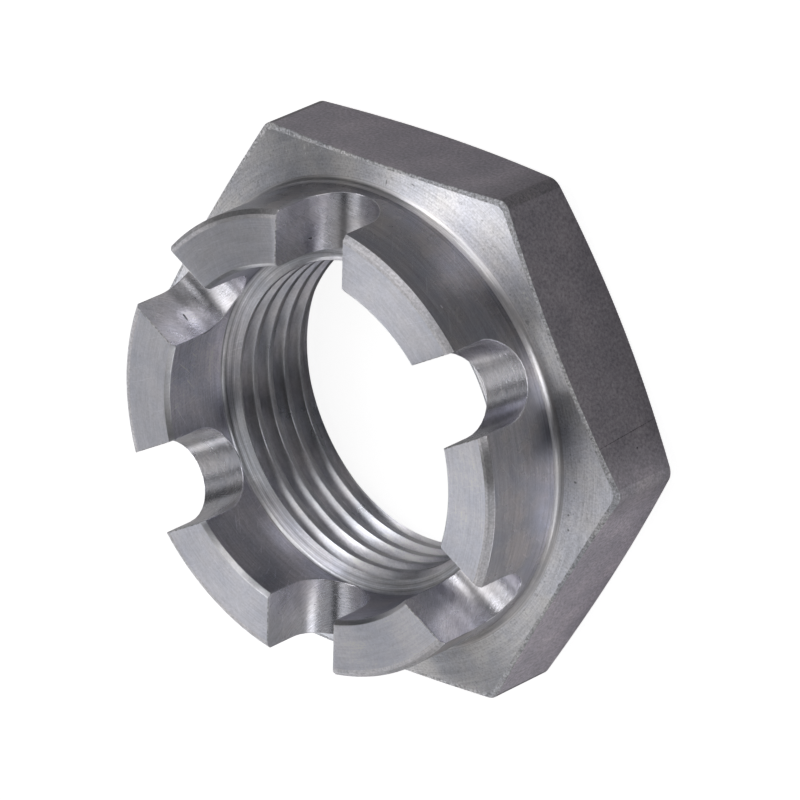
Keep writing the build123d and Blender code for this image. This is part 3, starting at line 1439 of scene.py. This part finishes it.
@dataclass(frozen=True)
class SoftBox:
    """A rectangular lamp that points at the nut; angles in degrees, lengths in metres."""

    name: str
    azimuth: float
    elevation: float
    length: float
    width: float
    radiance: float
    distance: float = 1.0

    def build(self) -> bpy.types.Object:
        """Make the lamp, whose length lies level and whose power = radiance * pi * area.

        Returns:
            The lamp.
        """
        data = bpy.data.lights.new(self.name, "AREA")
        data.shape, data.size, data.size_y = "RECTANGLE", self.length, self.width
        data.energy = self.radiance * math.pi * self.length * self.width
        lamp = bpy.data.objects.new(self.name, data)
        a, e = math.radians(self.azimuth), math.radians(self.elevation)
        toward = Vector((math.cos(a) * math.cos(e), math.sin(a) * math.cos(e), math.sin(e)))
        level = Vector((-math.sin(a), math.cos(a), 0))
        turn = Matrix((level, toward.cross(level), toward)).transposed().to_4x4()
        lamp.matrix_world = Matrix.Translation(toward * self.distance) @ turn
        bpy.context.scene.collection.objects.link(lamp)
        return lamp


@dataclass(frozen=True)
class Studio:
    """Plain pale floor, plain light and the camera."""

    floor_size: float = 12.0
    floor_gap: float = 0.0001
    floor_tone: float = 0.6
    backdrop_glow: float = 0.9
    backdrop_tone: float = 0.4
    horizon_height: Pair = (0.15, 0.32)
    horizon_tone: float = 0.03
    sky_tone: float = 0.02
    camera: Camera = Camera()
    lamps: tuple[SoftBox, ...] = (
        SoftBox("key", 120, 46, 0.25, 0.32, 2.31),
        SoftBox("back", 220, 10, 1.1, 0.32, 2.03),
        SoftBox("glint", 20, 19, 0.33, 0.63, 1.73),
        SoftBox("top_left", 165, 64, 0.47, 0.32, 1.49),
        SoftBox("top_right", 105, 64, 0.47, 0.32, 1.49),
        SoftBox("kicker", 330, 10, 0.7, 0.32, 1.2),
        SoftBox("side", 90, 10, 0.7, 0.32, 0.79),
        SoftBox("crown", 240, 64, 0.7, 0.32, 0.66),
        SoftBox("low_left", 300, 10, 1.1, 0.32, 0.6),
        SoftBox("brow", 130, 46, 1.0, 0.32, 0.49),
        SoftBox("left", 270, 37, 0.56, 0.63, 0.41),
        SoftBox("rear_low", 200, 19, 1.0, 0.63, 0.4),
        SoftBox("rear", 230, 46, 1.0, 0.32, 0.36),
        SoftBox("front", 320, 37, 0.84, 0.63, 0.35),
        SoftBox("near", 40, 37, 0.84, 0.63, 0.24),
        SoftBox("overhead", 135, 85, 0.4, 0.32, 0.47),
        SoftBox("flank", 77, 31, 0.36, 0.24, 2.5),
    )

    def floor_material(self) -> bpy.types.Material:
        """Pale matt floor; the camera alone sees it lifted to white, with the nut's shadow on it.

        Returns:
            The node material.
        """
        sheet = NodeSheet("pale_floor")
        plain, shaded = (
            sheet.node("ShaderNodeBsdfDiffuse", {"Color": (tone, tone, tone, 1.0)}).outputs[0]
            for tone in (self.floor_tone, self.backdrop_tone)
        )
        glow = sheet.node("ShaderNodeEmission", {"Strength": self.backdrop_glow}).outputs[0]
        lifted = sheet.node("ShaderNodeAddShader", {0: shaded, 1: glow}).outputs[0]
        seen = sheet.node("ShaderNodeLightPath").outputs["Is Camera Ray"]
        mix = sheet.node("ShaderNodeMixShader", {0: seen, 1: plain, 2: lifted})
        sheet.node("ShaderNodeOutputMaterial", {"Surface": mix.outputs[0]})
        return sheet.material

    def build_floor(self) -> None:
        """Lay the pale floor just under the nut's bearing face."""
        half = self.floor_size / 2
        corners = [(-half, -half, 0.0), (half, -half, 0.0), (half, half, 0.0), (-half, half, 0.0)]
        mesh = bpy.data.meshes.new("floor")
        mesh.from_pydata(corners, [], [(0, 1, 2, 3)])
        mesh.materials.append(self.floor_material())
        floor = bpy.data.objects.new("floor", mesh)
        floor.location.z = -self.floor_gap
        bpy.context.scene.collection.objects.link(floor)
        floor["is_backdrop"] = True

    def build_world(self) -> None:
        """Surround the scene with a dim sky, a little lighter towards the horizon."""
        world = bpy.data.worlds.new("studio")
        world.use_nodes = True
        tree = world.node_tree
        parts = tree.nodes.new("ShaderNodeSeparateXYZ")
        tree.links.new(tree.nodes.new("ShaderNodeTexCoord").outputs["Generated"], parts.inputs[0])
        tones = tree.nodes.new("ShaderNodeMapRange")
        tones.interpolation_type = "SMOOTHSTEP"
        limits = (*self.horizon_height, self.horizon_tone, self.sky_tone)
        for socket, value in zip(tones.inputs[1:5], limits):
            socket.default_value = value
        tree.links.new(parts.outputs[2], tones.inputs[0])
        tree.links.new(tones.outputs[0], tree.nodes["Background"].inputs["Color"])
        bpy.context.scene.world = world

    def build(self) -> None:
        """Set up the floor, the surroundings, the lamps and the camera."""
        self.build_floor()
        self.build_world()
        for lamp in self.lamps:
            lamp.build()
        self.camera.build()
        bpy.context.scene.view_settings.view_transform = "Standard"


def main() -> None:
    """Build the nut and its studio, in order, and report each piece."""
    logging.basicConfig(level=logging.INFO, format="%(name)s: %(message)s")
    nut = CastleNut()
    body = nut.build()
    finishes = NutFinishes(nut).in_order()
    for finish in finishes:
        body.data.materials.append(finish.material())
    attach(body, "root")
    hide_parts("castle_nut")
    log.info("%s: %d faces, %d finishes", body.name, len(body.data.polygons), len(finishes))
    studio = Studio()
    studio.build()
    log.info("studio: floor, %d lamps and camera", len(studio.lamps))
    boxes = {"cad": cad_box, "visual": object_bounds()}
    {name: [list(corner) for corner in box] for name, box in boxes.items()}


if __name__ == "__main__":
    main()
